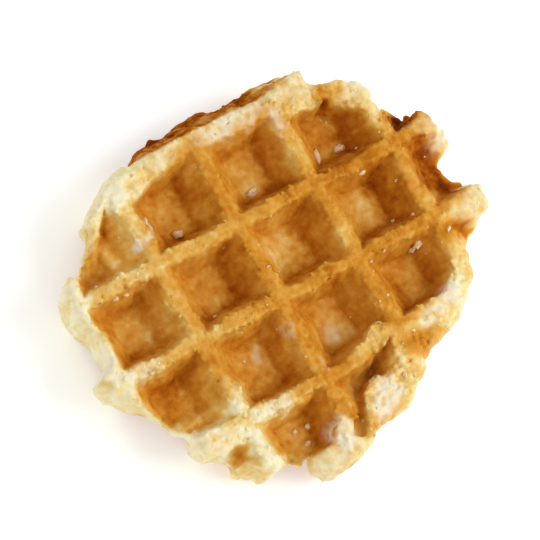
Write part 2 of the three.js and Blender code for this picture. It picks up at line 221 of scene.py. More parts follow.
# Torn places, where the crumb shows: centre, half-sizes, turn in degrees, how rough.
TORN = (
    (5.5, 42.8, 9.5, 2.8, 0, 0.32), (21.5, 43, 7.5, 3.4, 0, 0.5), (17.4, 34, 2, 6, 0, 0.4),
    (-22, -28, 7, 2.2, 0, 0.5), (-29, -24, 2.2, 8, 0, 0.4), (-48, -3.4, 5.5, 2, 0, 0.6),
    (-16, -3.4, 9, 2, 0, 0.5), (8, -3.4, 12, 1.8, 0, 0.3), (44.5, 24.2, 3.4, 4.6, 0, 1),
    (50, 21.6, 4, 1.6, 0, 0.8), (-36, 18.4, 18, 1.8, 0, 0.3), (34, -27.5, 9, 2, 32, 0.2),
    (14, -39, 8, 2, 36, 0.2), (0, 48.2, 26, 1.4, 0, 0.5),
)

# Lumps of pearl sugar on the top: place, length, width, turn in degrees.
SUGAR = (
    (-18.6, 24.5, 2.9, 2.7, 0), (4.2, 25.2, 3.2, 2.5, 20), (24.8, 25.6, 4.2, 2, 72),
    (31.4, 25.1, 3.6, 2.3, 8), (35.4, -7.2, 4.4, 2.4, 32), (34, -7.6, 2.4, 2, 0),
    (30.9, 15.6, 2, 1.6, 0), (-26.6, 30, 2.2, 1.4, 80), (-43.6, 16.2, 2, 1.4, 10),
    (-40.6, 16, 1.7, 1.3, 0), (-46.2, 21, 1.3, 1, 0), (-50, -2, 1.3, 1, 0), (-21.6, 0.8, 1.3, 1.1, 0),
    (20.4, -6, 1.2, 0.9, 30), (24.6, -5.2, 1.4, 1, 30), (37.2, -0.4, 1.2, 1, 0), (33.8, 1.2, 1.5, 1, 0),
    (18.9, -16, 1, 0.8, 0), (20.2, -27, 1.5, 1.1, 0), (12.2, -36.3, 1.8, 1.3, 70),
    (14.5, -36.8, 1.7, 1.2, 60), (-20.2, -12.6, 1, 0.8, 0), (-33, -30.8, 1.2, 0.9, 0),
    (-18, -34.6, 1.8, 1.4, 0), (-14.2, -35, 1.9, 1.5, 40), (-16.2, -38.8, 1.9, 1.4, 0),
    (-2.6, -41, 1.2, 1, 0), (34.8, 22.6, 1, 0.8, 0), (-5, 5, 1.1, 0.9, 0), (42.6, -8.4, 2.2, 1.1, 50),
    (54, -0.2, 1.5, 1, 30), (-2.8, -44, 1, 0.8, 0),
)
SUGAR_HEIGHT = 0.36
SUGAR_LIFT = 0.05
SPECK_COUNT = 36
SPECK_SIZES = (0.18, 0.38)
CRUMB_COUNT = 560
CRUMB_SIZES = (0.28, 0.66)
CRUMB_SUNK = 0.55
CRUMBS_ON_CRESTS = 0.14

# The crust's relief. Lumps have a height, what swells add to it, a size and a place in the noise.
CRUST_LUMPS = ((0.2, 0.12, 7.0, 0.0), (0.12, 0.22, 3.2, 0.0), (0.07, 0.09, 1.6, 31.0))
CREST_DEPTH = 2.2
CREST_FADE = 1.4
TORN_FROM = 12.0
TORN_FADE = 3.0
FINE_GRAINS = {"height": 1.05, "size": 1.3}
COARSE_GRAINS = {"height": 0.65, "size": 2.3}
GRAINS_SUNK = 0.3

# The field of distances: its half-sizes and cells, and how near the surface it gets relief.
FIELD_HALF = (60.0, 52.5)
MARGIN = 2.0
CELL = 0.4
RELIEF_BAND = 1.6
RELAX_SHARE = 0.35
SEEN_TRIANGLES = 196000
# How readily faces are spared, from 0 to 1: anywhere, and how much more on the lower face.
SPARE_LEAST = 0.1
SPARE_HIDDEN = 0.6
SPARE_LEVELS = 10


# ---- noise and small helpers


class Noise:
    """Repeatable gradient noise at points in millimetres, mostly from -1 to 1, now and then up to 2."""

    def __init__(self, seed):
        draw = np.random.default_rng(seed)
        self.order = draw.permutation(256)
        ways = draw.normal(size=(256, 3))
        self.ways = (ways / np.linalg.norm(ways, axis=1)[:, None]).astype(np.float32)

    def hashed(self, cell):
        """One of 256 numbers for each cell of a grid."""
        cell = cell & 255
        return self.order[(self.order[(self.order[cell[:, 0]] + cell[:, 1]) & 255] + cell[:, 2]) & 255]

    def at(self, points, size):
        place = points / size
        low = np.floor(place).astype(np.int64)
        part = (place - low).astype(np.float32)
        fade = part * part * part * (part * (part * 6 - 15) + 10)
        total = np.zeros(len(points), np.float32)
        for corner in np.ndindex(2, 2, 2):
            away = part - np.array(corner, np.float32)
            reach = np.where(corner, fade, 1 - fade).prod(axis=1)
            total += reach * (self.ways[self.hashed(low + corner)] * away).sum(axis=1)
        return total * 3.2

    def layered(self, points, layers):
        """Noise of several sizes, added up."""
        return sum(height * self.at(points, size) for height, size in layers)

    def grains(self, points, size):
        """The heights of round grains, in millimetres, scattered one to a cell of a grid of cubes."""
        warp_cell = np.floor(points / size * 2.2).astype(np.int64)
        warped = points + 0.16 * size * self.ways[self.hashed(warp_cell)]
        low = np.floor(warped / size - 0.5).astype(np.int64)
        best = np.zeros(len(points), np.float32)
        for corner in np.ndindex(2, 2, 2):
            cell = low + corner
            kind = self.hashed(cell)
            centre = (cell + 0.5 + 0.25 * self.ways[kind]) * size
            radius = size * (0.3 + 0.3 * (self.order[kind] / 255.0))
            away = ((warped - centre) ** 2).sum(axis=1) / radius**2
            best = np.maximum(best, radius * np.sqrt(np.maximum(1 - away, 0)))
        return best


def smooth_step(share):
    t = np.clip(share, 0, 1)
    return t * t * (3 - 2 * t)


def soft_max(a, b, k):
    blend = np.maximum(k - np.abs(a - b), 0) / k
    return np.maximum(a, b) + blend * blend * k / 4


def soft_min(a, b, k):
    return -soft_max(-a, -b, k)


def flat(x, y, z):
    """Arrays of places, all at the height z, as rows of points."""
    x, y, z = np.broadcast_arrays(x, y, z)
    return np.stack([x.ravel(), y.ravel(), z.ravel()], axis=1).astype(np.float32)


# Dough is drawn out upwards between the plates, and so are its lumps and patches.
DRAWN_OUT = np.array([1.0, 1.0, 0.45], np.float32)
WOBBLE = Noise(11)
LUMPS = Noise(23)
CRUMBS = Noise(37)
PATCHES = Noise(51)


# ---- the pressed faces


def bend(x, y):
    along = (x - BENT_RIDGE["from"]) / (BENT_RIDGE["to"] - BENT_RIDGE["from"])
    beside = 1 - np.abs(y - BENT_RIDGE["y"]) / BENT_RIDGE["fade"]
    return BENT_RIDGE["rise"] * smooth_step(along) * smooth_step(beside)


def nearest(ridges, at):
    return np.min([np.abs(at - ridge) for ridge in ridges], axis=0)


def wall_fall(away, half, run):
    """The share of a well's depth at a distance from a ridge's centre line."""
    passed = (away - half) / run
    return soft_min(soft_max(passed, 0.0, SHOULDER_ROUND), 1.0, FOOT_ROUND)


def among_ridges(x, y, plate):
    """Where places lie in a plate's straight grid. Its ridges waver in the dough, and one is bent."""
    shape = np.shape(x)
    points = flat(x, y, READ_AT[plate])
    u = x + WOBBLE.layered(points, WAVER).reshape(shape)
    v = y - bend(x, y) + WOBBLE.layered(points + WAVER_APART, WAVER).reshape(shape)
    return u, v


def well_share(x, y, plate):
    """The share of a whole well's depth, in the face that the upper or the lower plate pressed."""
    u, v = among_ridges(x, y, plate)
    across = wall_fall(nearest(RIDGES_X, u), RIDGE_HALF[0], WALL_RUN[0])
    along = wall_fall(nearest(RIDGES_Y, v), RIDGE_HALF[1], WALL_RUN[1])
    along = np.where(v > RIDGES_Y[-1], 0.0, along)
    skirt = np.clip((v - SKIRT_FROM) / SKIRT_RUN, 0, 1)
    return np.maximum(np.maximum(soft_min(across, along, CORNER_ROUND), skirt), 0)


def in_oval(x, y, oval, soft):
    """How far inside an oval places are: 1 in its middle, 0.5 on its line, 0 well outside."""
    centre_x, centre_y, half_x, half_y, turn = oval
    c, s = math.cos(math.radians(turn)), math.sin(math.radians(turn))
    along = ((x - centre_x) * c + (y - centre_y) * s) / half_x
    beside = ((y - centre_y) * c - (x - centre_x) * s) / half_y
    return smooth_step((1 + soft / 2 - np.hypot(along, beside)) / soft)


def wander(x, y, far=1.0):
    """Places moved about, so that outlines laid over them wander."""
    points = flat(x, y, READ_AT["wander"])
    shape = np.shape(x)
    along = WOBBLE.layered(points, WANDER)
    beside = WOBBLE.layered(points + WANDER_APART, WANDER)
    return x + far * along.reshape(shape), y + far * beside.reshape(shape)


def nearest_on(x, y, a, b):
    """The nearest point of the line from a to b: its share of the way, and how far off it is."""
    run_x, run_y = b[0] - a[0], b[1] - a[1]
    part = np.clip(((x - a[0]) * run_x + (y - a[1]) * run_y) / (run_x**2 + run_y**2), 0, 1)
    return part, np.hypot(x - a[0] - part * run_x, y - a[1] - part * run_y)


def lobe_share(x, y):
    """1 on the folded lobe, 0 beyond the foot of its slope."""
    u, v = wander(x, y, LOBE_WANDER)
    nearest_gap = np.full(np.shape(x), FAR)
    share = np.zeros(np.shape(x))
    for (*a, a_width), (*b, b_width) in zip(LOBE_CREST, LOBE_CREST[1:]):
        part, gap = nearest_on(u, v, a, b)
        on_lobe = (v - a[1]) * (b[0] - a[0]) > (u - a[0]) * (b[1] - a[1])
        slope = a_width + part * (b_width - a_width)
        here = np.where(on_lobe, 1.0, smooth_step(1 - gap / slope))
        share = np.where(gap < nearest_gap, here, share)
        nearest_gap = np.minimum(gap, nearest_gap)
    beyond = (y - bend(x, y) > RIDGES_Y[0] - LOBE_BELOW_RIDGE) | (x > LOBE_END_X)
    return np.where(beyond, 0.0, share)


def all_swells(x, y, lobe_amount, amounts):
    """What the lobe and the swells add up to, each taking its share of what the others left."""
    u, v = wander(x, y, SWELL_WANDER)
    left = 1 - lobe_amount * lobe_share(x, y)
    for (*oval, _, soft, _), amount in zip(SWELLS, amounts):
        left *= 1 - amount * in_oval(u, v, oval, SWELL_EDGE * soft)
    return 1 - left


def swell_share(x, y):
    """The share of a well's depth that swells fill."""
    return all_swells(x, y, LOBE_FILL, [fill for *_, fill, _, _ in SWELLS])


def swell_paleness(x, y):
    return all_swells(x, y, LOBE_PALENESS, [pale for *_, pale in SWELLS])


def sum_of(ovals, x, y):
    """The sum of the amounts of soft ovals whose outlines wander."""
    u, v = wander(x, y)
    return sum(amount * in_oval(u, v, oval, OVAL_EDGE) for *oval, amount in ovals)


def top_height(x, y):
    sag = SAG + LUMPS.layered(flat(x, y, READ_AT["sag"]), SAG_UNEVEN).reshape(np.shape(x))
    return THICKNESS - sag - WELL_DEPTH * well_share(x, y, "upper") * (1 - swell_share(x, y))


def bottom_height(x, y):
    return WELL_DEPTH * well_share(x, y, "lower") * (1 - LOWER_SWELL * swell_share(x, y))


def steepness(height, step):
    along, beside = np.gradient(height, step)
    return np.sqrt(1 + along**2 + beside**2)


# ---- the free rim


def rim_reaches():
    """How far the CAD solid's web reaches at each bearing, in the grid's frame, in millimetres."""
    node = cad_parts["waffle"]
    tree = BVHTree.FromObject(node, bpy.context.evaluated_depsgraph_get())
    middle = Vector(GRID_SHIFT * MM) + Vector((0, 0, THICKNESS / 2 * MM))
    outside = 0.2
    reaches = []
    for step in range(RIM_BEARINGS):
        bearing = 2 * math.pi * step / RIM_BEARINGS - math.pi
        way = Vector((math.cos(bearing), math.sin(bearing), 0))
        hit = tree.ray_cast(middle + way * outside, -way)[0]
        reaches.append((hit - middle).length / MM)
    return np.array(reaches)


REACHES = rim_reaches()


def rim_reach(bearing):
    steps = np.linspace(-math.pi, math.pi, RIM_BEARINGS + 1)
    return np.interp(bearing, steps, np.append(REACHES, REACHES[0]))


def rim_inset(z):
    share = np.clip(np.abs(z / (THICKNESS / 2) - 1), 0, 1)
    return RIM_INSET * (1 - (1 - share**RIM_SQUARENESS) ** (1 / RIM_SQUARENESS))


def rim_lean(bearing, z):
    share = smooth_step((-np.cos(bearing) - RIM_LEAN["from"]) / (RIM_LEAN["full"] - RIM_LEAN["from"]))
    return RIM_LEAN["draw"] * share * (z / (THICKNESS / 2) - 1)


# ---- the whole slab as a distance field


def crease_gap(x, y, path):
    """Distance to the nearest point of a crease's line, less the crease's half-width there."""
    best = np.full(np.shape(x), FAR)
    for (*a, a_half), (*b, b_half) in zip(path, path[1:]):
        part, away = nearest_on(x, y, a, b)
        best = np.minimum(best, away - a_half - part * (b_half - a_half))
    return best


def ragged(x, y):
    """How far the rim stands out from its smooth outline."""
    points = flat(x, y, READ_AT["rim"])
    uneven = LUMPS.layered(points, RIM_UNEVEN) + CRUMBS.layered(points, RIM_FINE)
    pushed = 0
    for centre_x, centre_y, width, by in RIM_REACHES_ON:
        pushed += by * np.exp(-((x - centre_x) ** 2 + (y - centre_y) ** 2) / width**2)
    return uneven.reshape(np.shape(x)) + pushed


class Slab:
    """The slab's surfaces over a grid of places, read layer by layer."""

    def __init__(self, xs, ys):
        x, y = np.meshgrid(xs, ys, indexing="ij")
        step = xs[1] - xs[0]
        self.top = top_height(x, y)
        self.bottom = bottom_height(x, y)
        self.top_slope = steepness(self.top, step)
        self.bottom_slope = steepness(self.bottom, step)
        self.bearing = np.arctan2(y, x)
        self.inward = rim_reach(self.bearing) + ragged(x, y) - np.hypot(x, y)
        self.rim_slope = np.maximum(steepness(self.inward, step) ** 2 - 1, 1) ** 0.5
        self.x, self.y = x, y
        self.torn = torn_cover(x, y)
        self.swollen = swell_share(x, y)
        self.shoulder = smooth_step(well_share(x, y, "upper") / 0.05)
        self.uneven = LUMPS.layered(flat(x, y, READ_AT["creases"]), CREASE_UNEVEN).reshape(x.shape)
        self.creases = [crease_gap(x, y, path) + self.uneven for path, _, _ in CREASES]

    def rim(self, z):
        return (rim_inset(z) - rim_lean(self.bearing, z) - self.inward) / self.rim_slope

    def pressed(self, z):
        above = (z - self.top) / self.top_slope
        below = (self.bottom - z) / self.bottom_slope
        return np.maximum(above, below)

    def layer(self, z):
        solid = soft_max(self.pressed(z), self.rim(z), RIM_ROUND)
        for (path, depth, lean), gap in zip(CREASES, self.creases):
            down = THICKNESS - z
            left = 1 - down / depth
            if left <= 0:
                continue
            if any(lean):
                gap = crease_gap(self.x - lean[0] * down, self.y - lean[1] * down, path) + self.uneven
            solid = soft_max(solid, -gap - CREASE_NARROWING * (1 - math.sqrt(left)), CREASE_ROUND)
        return solid


def torn_cover(x, y):
    """Where the dough was torn, seen from above, from 0 to 1."""
    return np.clip(sum_of(TORN, x, y), 0, 1)


def torn_height(z):
    """1 in the slab's upper half, where its torn places are, and 0 below."""
    return smooth_step((z - TORN_FROM) / TORN_FADE)


def crest_share(points):
    """1 on the tops of the ridges, 0 on the walls and floors of the wells."""
    z = points[:, 2]
    upper = smooth_step((z - THICKNESS + CREST_DEPTH) / CREST_FADE)
    return upper + smooth_step((CREST_DEPTH - z) / CREST_FADE)


def relief(points, torn, swollen, shoulder):
    """How far the crust stands in or out from the smooth slab, with what is known of each place."""
    upright = points * DRAWN_OUT
    lumpy = 0
    for height, added, size, moved in CRUST_LUMPS:
        lumpy += (height + added * swollen) * LUMPS.at(upright + moved, size)
    crest = crest_share(points)
    torn = torn * torn_height(points[:, 2])
    patchy = smooth_step(0.5 + 0.6 * PATCHES.at(points, 8.0))
    crumbly = np.clip(crest * (0.5 * patchy + 0.5 * shoulder) + 0.55 * torn, 0, 1)
    grains = np.zeros(len(points), np.float32)
    rough = crumbly > 0.03
    spots = points[rough]
    fine = FINE_GRAINS["height"] * CRUMBS.grains(spots, FINE_GRAINS["size"])
    coarse = COARSE_GRAINS["height"] * LUMPS.grains(spots + 13.0, COARSE_GRAINS["size"])
    grains[rough] = fine + coarse - GRAINS_SUNK
    return lumpy + crumbly * grains


def crust_field():
    """How far a grid's points are from the crust's surface, below 0 inside it, and its low corner."""
    low = np.array([-FIELD_HALF[0], -FIELD_HALF[1], -MARGIN])
    high = np.array([*FIELD_HALF, THICKNESS + MARGIN])
    xs, ys, zs = (np.arange(a, b, CELL) for a, b in zip(low, high))
    slab = Slab(xs, ys)
    field = np.stack([slab.layer(z) for z in zs], axis=2).astype(np.float32)
    near = np.nonzero(np.abs(field) < RELIEF_BAND)
    place = near[:2]
    points = np.stack([xs[near[0]], ys[near[1]], zs[near[2]]], axis=1).astype(np.float32)
    away = np.stack([along[near] for along in np.gradient(field)], axis=1)
    away /= np.maximum(np.linalg.norm(away, axis=1), 1e-6)[:, None]
    on_slab = points - field[near][:, None] * away
    field[near] -= relief(on_slab, slab.torn[place], slab.swollen[place], slab.shoulder[place])
    field[near] = np.maximum(field[near], -points[:, 2])
    return field, low


def surface_nets(field, low, step):
    """The zero surface of a field as points and quads whose normals point out of its negative side."""
    inside = field < 0
    size = np.array(field.shape) - 1
    corners = [tuple(slice(c, c + s) for c, s in zip(corner, size)) for corner in np.ndindex(2, 2, 2)]
    count = sum(inside[c].astype(np.int8) for c in corners)
    cells = np.argwhere((count > 0) & (count < 8))
    number = np.full(size, -1, np.int64)
    number[tuple(cells.T)] = np.arange(len(cells))
    offsets = list(np.ndindex(2, 2, 2))
    values = {o: field[tuple((cells + o).T)] for o in offsets}
    place = np.zeros((len(cells), 3))
    hits = np.zeros(len(cells))
    for a in offsets:
        for axis in range(3):
            if a[axis]:
                continue
            b = tuple(v + (i == axis) for i, v in enumerate(a))
            crosses = (values[a] < 0) != (values[b] < 0)
            share = np.where(crosses, values[a] / np.where(crosses, values[a] - values[b], 1), 0)
            spot = np.array(a) + share[:, None] * np.eye(3)[axis]
            place += np.where(crosses[:, None], spot, 0)
            hits += crosses
    points = low + step * (cells + place / hits[:, None])
    quads = []
    for axis in range(3):
        one, two = (axis + 1) % 3, (axis + 2) % 3
        near = [slice(1, -1)] * 3
        near[axis] = slice(0, -1)
        far = list(near)
        far[axis] = slice(1, None)
        for enters in (True, False):
            edge = (inside[tuple(near)] == enters) & (inside[tuple(far)] != enters)
            at = np.argwhere(edge) + [int(i != axis) for i in range(3)]
            ring = []
            for back_one, back_two in ((1, 1), (0, 1), (0, 0), (1, 0)):
                cell = at.copy()
                cell[:, one] -= back_one
                cell[:, two] -= back_two
                ring.append(number[tuple(cell.T)])
            quads.append(np.stack(ring if enters else ring[::-1], axis=1))
    return points, np.concatenate(quads)


def relaxed(points, quads):
    """Points moved towards the middle of their neighbours, which takes the grid's steps out."""
    here = quads.ravel()
    beside = np.roll(quads, -1, axis=1).ravel()
    count = np.bincount(here)[:, None]
    middle = np.stack([np.bincount(here, points[beside, axis]) for axis in range(3)], axis=1) / count
    return points + RELAX_SHARE * (middle - points)


# ---- Blender objects


def add_object(name, data):
    thing = bpy.data.objects.new(name, data)
    bpy.context.scene.collection.objects.link(thing)
    return thing


def make_mesh(name, points, faces):
    """An object from points in the grid's frame and faces that all have as many corners."""
    mesh = bpy.data.meshes.new(name)
    sides = faces.shape[1]
    mesh.vertices.add(len(points))
    mesh.vertices.foreach_set("co", ((points + GRID_SHIFT) * MM).astype(np.float32).ravel())
    mesh.loops.add(faces.size)
    mesh.loops.foreach_set("vertex_index", faces.astype(np.int32).ravel())
    mesh.polygons.add(len(faces))
    mesh.polygons.foreach_set("loop_start", np.arange(len(faces), dtype=np.int32) * sides)
    mesh.update(calc_edges=True)
    mesh.validate()
    mesh.shade_smooth()
    return add_object(name, mesh)


def thin_out(thing, ratio, spare):
    """Fewer faces, most of them taken where spare is high."""
    group = thing.vertex_groups.new(name="spare")
    for level in range(SPARE_LEVELS + 1):
        members = np.nonzero(np.round(spare * SPARE_LEVELS) == level)[0]
        group.add(members.tolist(), level / SPARE_LEVELS, "REPLACE")
    modifier = thing.modifiers.new("thin", "DECIMATE")
    modifier.ratio = ratio
    modifier.vertex_group = group.name
    modifier.vertex_group_factor = 1.0
    modifier.use_collapse_triangulate = True
    graph = bpy.context.evaluated_depsgraph_get()
    mesh = bpy.data.meshes.new_from_object(thing.evaluated_get(graph))
    thing.modifiers.clear()
    thing.vertex_groups.clear()
    thing.data = mesh
    mesh.shade_smooth()


def read_all(rows, name, width, kind=np.float32):
    """One property of all of a mesh's points, edges or corners, in rows."""
    values = np.empty(len(rows) * width, kind)
    rows.foreach_get(name, values)
    return values.reshape(-1, width)


def edge_ends(thing):
    """The points at the two ends of each edge."""
    return read_all(thing.data.edges, "vertices", 2, np.int32).T


def shell_numbers(thing):
    """The lowest point that each point is joined to, which is the same all over one shell."""
    a, b = edge_ends(thing)
    lowest = np.arange(len(thing.data.vertices))
    while True:
        lower = lowest.copy()
        np.minimum.at(lower, a, lowest[b])
        np.minimum.at(lower, b, lowest[a])
        lower = lower[lower]
        if (lower == lowest).all():
            return lowest
        lowest = lower


def drop_loose_bits(thing):
    """Only the biggest shell of a piece stays, with its pinholes closed."""
    shell = shell_numbers(thing)
    loose = shell != np.bincount(shell).argmax()
    shape = bmesh.new()
    shape.from_mesh(thing.data)
    bmesh.ops.delete(shape, geom=[vertex for vertex in shape.verts if loose[vertex.index]], context="VERTS")
    bmesh.ops.holes_fill(shape, edges=[edge for edge in shape.edges if edge.is_boundary], sides=8)
    bmesh.ops.triangulate(shape, faces=[face for face in shape.faces if len(face.verts) > 3])
    shape.to_mesh(thing.data)
    shape.free()


def keep_height(thing):
    """No point of a piece lower than the floor or higher than the tallest crumb."""
    points = read_all(thing.data.vertices, "co", 3)
    points[:, 2] = np.clip(points[:, 2], 0, HIGHEST * MM)
    thing.data.vertices.foreach_set("co", points.ravel())
    thing.data.update()


def mesh_points(thing):
    """A piece's points and normals, the points in the grid's frame, in millimetres."""
    points = read_all(thing.data.vertices, "co", 3) / MM - GRID_SHIFT
    return points, read_all(thing.data.vertex_normals, "vector", 3)


def write_attribute(thing, name, values):
    layer = thing.data.attributes.new(name, "FLOAT", "POINT")
    layer.data.foreach_set("value", np.asarray(values, np.float32))


# ---- colours of the crust


def hollowness(thing, points, normals):
    """How hollow a piece is at each point, in 1 / mm: above 0 in creases, below 0 on crumbs."""
    a, b = edge_ends(thing)
    across = points[b] - points[a]
    count = len(points)

    def gathered(at_a, at_b):
        return np.bincount(a, at_a, count) + np.bincount(b, at_b, count)

    square = (across**2).sum(axis=1)
    rise = gathered((across * normals[a]).sum(axis=1), -(across * normals[b]).sum(axis=1))
    hollow = rise / np.maximum(gathered(square, square), 1e-6)
    near = np.maximum(gathered(np.ones(len(a)), np.ones(len(a))), 1)
    return 0.5 * hollow + 0.5 * gathered(hollow[b], hollow[a]) / near


def next_ridge(ridges, at, way):
    """How far the next ridge is from each place, up the axis if way is 1 and down it if way is -1."""
    gaps = [way * (ridge - at) for ridge in ridges]
    return np.min([np.where(gap > 0, gap, FAR) for gap in gaps], axis=0)


def foot_shade_and_browning(x, y):
    """How dark the painted contact shadow along the feet of the upper face's walls is, partly also browner
    crust.
    """
    places = among_ridges(x, y, "upper")
    dark = 0
    for axis, way, over_floor, up_wall, share in FOOT_SHADE_AND_BROWN_LINES:
        gap = next_ridge((RIDGES_X, RIDGES_Y)[axis], places[axis], way)
        foot = RIDGE_HALF[axis] + WALL_RUN[axis]
        fade = np.where(gap > foot, over_floor, up_wall)
        dark = np.maximum(dark, share * np.exp(-(((gap - foot) / fade) ** 2)))
    return dark


def skirt_share(points):
    """1 on the brown wall below the torn side. Its edges wander more the lower they are."""
    x, y, z = points.T
    down = np.clip((THICKNESS - z) / 6, 0, 1)
    wavy = 2.4 * down * PATCHES.at(points + 29.0, 9.0) + 1.2 * down * PATCHES.at(points + 3.0, 3.0)
    low_end, high_end = SKIRT_X
    across = smooth_step((high_end - x + 2 * wavy) / 11) * smooth_step((x - low_end + 3 * wavy) / 6)
    return smooth_step((y - SKIRT_FROM) / 1.2) * across * smooth_step((z - SKIRT_FOOT + wavy) / 5)


def inside_rim(x, y):
    """How far places are inside the rim of the CAD solid."""
    return rim_reach(np.arctan2(y, x)) - np.hypot(x, y)


def pale_share(points, open_well, wall):
    """1 where the crust stayed pale, round the free rim and on the swells."""
    x, y, _ = points.T
    inward = inside_rim(x, y) + 0.9 * PATCHES.at(points + 5.0, 6.0)
    not_open = 1 - smooth_step(open_well * 2.2)
    side = smooth_step((3.0 - inward) / 2) * smooth_step(wall / 0.7)
    rim_pale = np.maximum((1 - smooth_step((inward - 1) / 8)) * not_open, side)
    warp = 0.9 * PATCHES.at(points + 77.0, 5.0)
    swell_pale = swell_paleness(x + warp, y - warp) * not_open
    return 1 - (1 - rim_pale) * (1 - swell_pale)


def pressed_bake(points, well, wall):
    """How brown the faces are that lay against a plate, with blotches on the floors of the wells."""
    floor = smooth_step((well - 0.9) / 0.08)
    glazed = 0.05 * PATCHES.at(points + 19.0, 2.6) + 0.05 * PATCHES.at(points + 41.0, 1.3) - 0.02
    return PRESSED_BAKE + floor * glazed + 0.02 * smooth_step(wall / 0.8)


def cream_bake_and_shade(points, hollow):
    """How brown the pale places are, with painted shade towards one corner, where the key lamp lights them
    most, and in creases.
    """
    x, y, _ = points.T
    drawn = points * DRAWN_OUT
    cream = CREAM_BAKE + 0.06 * PATCHES.at(drawn, 5.0) + 0.04 * PATCHES.at(drawn, 2.0)
    # Painted shade: darker in creases, partly browner crust, and darker towards the corner that the key
    # lamp lights most.
    cream += 0.2 * np.clip(hollow, -0.3, 0.5) + 0.08 * smooth_step((x - y + 20) / 60)
    return cream


def baked_and_shade_share(points, normals, hollow=0.0):
    """How brown the crust is, from 0, raw cream, to 1, dark brown, with painted shade at the feet of the
    walls, in hollows, towards one corner and in some tones.
    """
    x, y, z = points.T
    upper = z > THICKNESS / 2
    well = np.where(upper, well_share(x, y, "upper"), well_share(x, y, "lower"))
    open_well = well * (1 - np.where(upper, 1.0, LOWER_SWELL) * swell_share(x, y))
    wall = 1 - np.abs(normals[:, 2])
    patchy = PATCHES.layered(points, PATCHY)
    # Darker in hollows and paler on crumbs: the darkening in hollows is painted shade, partly also browner
    # crust.
    patchy += 0.25 * np.clip(hollow, -0.4, 0.2)
    # Painted contact shadow along the feet of the walls, partly also browner crust.
    foot_shade_and_brown = FOOT_SHADE_AND_BROWNING_AMOUNT * foot_shade_and_browning(x, y) * smooth_step(open_well / 0.6)
    pressed = pressed_bake(points, well, wall) + foot_shade_and_brown + patchy
    pale = pale_share(points, open_well, wall)
    top_tones = sum_of(TONES, x, y) * smooth_step((z - 10) / 3)
    baked_and_shade = pressed * (1 - pale) + cream_bake_and_shade(points, hollow) * pale + top_tones
    skirt = skirt_share(points)
    brown = SKIRT_BAKE + 0.01 * (THICKNESS - z) + 2 * patchy
    return np.clip(baked_and_shade * (1 - skirt) + brown * skirt, 0, 1)


def white_share(points):
    """How much whitish crumb, flour and melted sugar covers the crust, with one painted highlight, broken
    up by noise.
    """
    x, y, z = points.T
    broken = smooth_step(0.65 + 0.4 * CRUMBS.at(points, 1.9) + 0.25 * PATCHES.at(points, 4.0))
    bare = smooth_step((z - 5) / 4) * (1 - skirt_share(points))
    return np.clip(0.85 * sum_of(WHITES, x, y) * bare * broken, 0, 1)


# ---- materials


# The crust's colours from raw cream to dark brown, and the colour of flour and melted sugar on it, which
# also paints one highlight.
CRUST_COLOURS = (
    (0.0, (0.91, 0.83, 0.56)),
    (0.12, (0.87, 0.71, 0.34)),
    (0.28, (0.78, 0.5, 0.135)),
    (0.42, (0.71, 0.36, 0.055)),
    (0.56, (0.63, 0.26, 0.023)),
    (0.7, (0.5, 0.165, 0.01)),
    (0.85, (0.36, 0.085, 0.005)),
    (1.0, (0.17, 0.032, 0.003)),
)
WHITISH = (0.86, 0.76, 0.56, 1)
SUGAR_COLOURS = ((0.35, (0.71, 0.43, 0.2)), (0.6, (0.84, 0.61, 0.36)))
FLOOR_COLOUR = (0.9, 0.925, 0.925, 1)


class Nodes:
    """A short way to lay out a material's nodes."""

    def __init__(self, name):
        self.material = bpy.data.materials.new(name)
        self.material.use_nodes = True
        self.tree = self.material.node_tree
        self.shader = self.tree.nodes["Principled BSDF"]

    def add(self, kind, values=None, **settings):
        node = self.tree.nodes.new(kind)
        for name, value in settings.items():
            setattr(node, name, value)
        self.fill(node, values or {})
        return node

    def fill(self, node, values):
        for name, value in values.items():
            self.put(node.inputs[name], value)

    def put(self, socket, value):
        if isinstance(value, bpy.types.NodeSocket):
            self.tree.links.new(value, socket)
        else:
            socket.default_value = value

    def place(self):
        place = self.add("ShaderNodeTexCoord").outputs["Object"]
        return self.add("ShaderNodeMapping", {"Vector": place, "Scale": tuple(DRAWN_OUT)}).outputs["Vector"]

    def noise(self, size_mm, detail=3.0, rough=0.55):
        values = {"Vector": self.place(), "Scale": 1000.0 / size_mm, "Detail": detail, "Roughness": rough}
        return self.add("ShaderNodeTexNoise", values).outputs["Fac"]

    def attribute(self, name):
        return self.add("ShaderNodeAttribute", attribute_name=name).outputs["Fac"]

    def math(self, operation, *values):
        node = self.add("ShaderNodeMath", operation=operation)
        for socket, value in zip(node.inputs, values):
            self.put(socket, value)
        return node.outputs[0]

    def ramp(self, share, stops):
        node = self.add("ShaderNodeValToRGB", {"Fac": share})
        ramp = node.color_ramp
        while len(ramp.elements) < len(stops):
            ramp.elements.new(0.5)
        for element, (at, colour) in zip(ramp.elements, stops):
            element.position = at
            element.color = (*colour, 1)
        return node.outputs["Color"]

    def scaled(self, value, low, high):
        """A 0 to 1 value spread from low to high."""
        values = {"Value": value, "To Min": low, "To Max": high}
        return self.add("ShaderNodeMapRange", values).outputs["Result"]

    def mixed(self, share, one, other):
        node = self.add("ShaderNodeMix", data_type="RGBA")
        self.put(node.inputs[0], share)
        self.put(node.inputs[6], one)
        self.put(node.inputs[7], other)
        return node.outputs[2]

    def bump(self, height, strength, depth_mm):
        values = {"Height": height, "Strength": strength, "Distance": depth_mm * MM}
        return self.add("ShaderNodeBump", values).outputs["Normal"]

    def finished(self, values):
        self.fill(self.shader, values)
        return self.material


